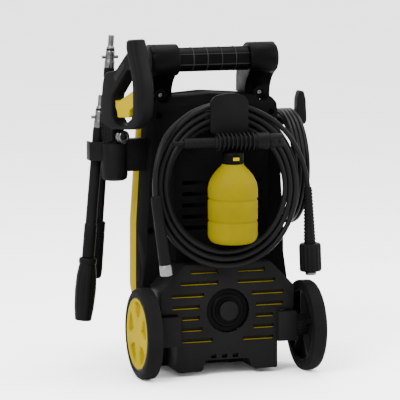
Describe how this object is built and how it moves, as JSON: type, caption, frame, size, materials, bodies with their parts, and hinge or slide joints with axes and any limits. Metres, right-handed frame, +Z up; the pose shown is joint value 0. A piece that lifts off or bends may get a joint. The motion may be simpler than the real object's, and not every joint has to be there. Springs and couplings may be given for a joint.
{
  "type": "pressure washer",
  "caption": "Upright wheeled pressure washer with carrying handle, hose and cable hooks, stowed trigger gun, lances and foam bottle.",
  "frame": {"origin": "ground, under the middle of everything but the hose and the mains cable", "axes": "+Z up, +Y towards the front (the switch side), +X to the right as seen from the rear, where the hose hangs"},
  "size_m": [0.4272, 0.3158, 0.5922],
  "materials": {
    "black_plastic": "fine moulded grain, satin",
    "dark_plastic": "smooth moulded, satin",
    "yellow_plastic": "smooth moulded, semi-gloss",
    "yellow_liner": "moulded, satin",
    "soft_rubber": "matt",
    "tyre_rubber": "matt, fine tread bands",
    "steel": "turned and polished",
    "cast_aluminium": "as cast",
    "cord_black": "smooth jacket, satin"
  },
  "bodies": {
    "machine": {"lower_grille": "black_plastic", "grille_liner": "yellow_liner", "access_cap": "dark_plastic", "rear_shell": "black_plastic", "front_shell": "yellow_plastic", "front_panel": "black_plastic", "base_tray": "black_plastic", "foot_left": "soft_rubber", "foot_right": "soft_rubber", "water_inlet": "dark_plastic", "water_outlet": "steel", "handle_leg_left": "dark_plastic", "handle_leg_right": "dark_plastic", "handle_grip": "dark_plastic", "axle": "steel", "hose_hook": "black_plastic", "cable_hook": "black_plastic", "gun_holster": "black_plastic", "hose_coil": "cord_black", "hose_tail_left": "cord_black", "hose_tail_right": "cord_black", "hose_sleeve": "soft_rubber", "hose_end": "steel", "hose_relief": "soft_rubber", "hose_tip": "steel", "cable_coil": "cord_black", "cable_tail_gland": "cord_black", "cable_tail_plug": "cord_black", "cable_gland": "soft_rubber", "plug": "dark_plastic", "motor_housing": "steel", "pump_head": "cast_aluminium", "switch_box": "dark_plastic"},
    "wheel_left": {"tyre_left": "tyre_rubber", "wheel_left": "dark_plastic", "wheel_cover_left": "yellow_plastic"},
    "wheel_right": {"tyre_right": "tyre_rubber", "wheel_right": "dark_plastic", "wheel_cover_right": "yellow_plastic"},
    "gun": {"gun_body": "black_plastic", "gun_inlet": "steel"},
    "trigger": {"gun_trigger": "yellow_plastic"},
    "lance_a": {"lance_a_connector": "steel", "lance_a_tube": "black_plastic"},
    "lance_a_head": {"lance_a_nozzle": "black_plastic"},
    "lance_b": {"lance_b_connector": "steel", "lance_b_tube": "black_plastic", "lance_b_nozzle": "black_plastic"},
    "foam_gun": {"foam_inlet": "dark_plastic", "foam_body": "black_plastic", "foam_cap": "dark_plastic"},
    "foam_tip": {"foam_tip": "black_plastic"},
    "foam_bottle": {"foam_bottle": "yellow_plastic"},
    "power_knob": {"power_knob": "yellow_plastic"},
    "rotor": {"rotor_shaft": "steel", "cooling_fan": "black_plastic", "wobble_plate": "steel"},
    "hose_nut": {"hose_nut": "black_plastic"}
  },
  "joints": [
    {"name": "wheel_left_spin", "type": "hinge", "parent": "machine", "child": "wheel_left", "pos_m": [-0.12328, -0.0764, 0.08], "axis": [1, 0, 0], "continuous": true},
    {"name": "wheel_right_spin", "type": "hinge", "parent": "machine", "child": "wheel_right", "pos_m": [0.17672, -0.0764, 0.08], "axis": [1, 0, 0], "continuous": true},
    {"name": "gun_lift", "type": "slide", "parent": "machine", "child": "gun", "axis": [0, 0, 1], "range_m": [0, 0.26]},
    {"name": "trigger_pull", "type": "hinge", "parent": "gun", "child": "trigger", "pos_m": [-0.12726, -0.03497, 0.497], "axis": [-0.9285, -0.3712, 0], "range_deg": [0, 6], "stiffness_Nm_per_rad": 2, "springref_deg": -4.58},
    {"name": "lance_a_unclip", "type": "slide", "parent": "machine", "child": "lance_a", "axis": [-0.2079, 0.9781, 0], "range_m": [0, 0.12]},
    {"name": "lance_a_head_twist", "type": "hinge", "parent": "lance_a", "child": "lance_a_head", "pos_m": [-0.19267, 0.0536, 0.14833], "axis": [-0.0882, 0, -0.9961], "range_deg": [0, 90]},
    {"name": "lance_b_unclip", "type": "slide", "parent": "machine", "child": "lance_b", "axis": [0, 1, 0], "range_m": [0, 0.12]},
    {"name": "foam_unclip", "type": "slide", "parent": "machine", "child": "foam_gun", "axis": [0, -1, 0], "range_m": [0, 0.15]},
    {"name": "foam_tip_twist", "type": "hinge", "parent": "foam_gun", "child": "foam_tip", "pos_m": [0.10472, -0.1144, 0.416], "axis": [1, 0, 0], "range_deg": [0, 90]},
    {"name": "foam_bottle_twist", "type": "hinge", "parent": "foam_gun", "child": "foam_bottle", "pos_m": [0.02672, -0.1144, 0.3], "axis": [0, 0, 1], "range_deg": [0, 120]},
    {"name": "power_knob_turn", "type": "hinge", "parent": "machine", "child": "power_knob", "pos_m": [0.02672, 0.1356, 0.35], "axis": [0, 1, 0], "range_deg": [0, 90]},
    {"name": "rotor_spin", "type": "hinge", "parent": "machine", "child": "rotor", "pos_m": [0.02672, 0.0416, 0.28], "axis": [0, 0, 1], "continuous": true},
    {"name": "hose_nut_spin", "type": "hinge", "parent": "machine", "child": "hose_nut", "pos_m": [0.18352, -0.0764, 0.2061], "axis": [0.04, 0, -0.9992], "continuous": true}
  ]
}
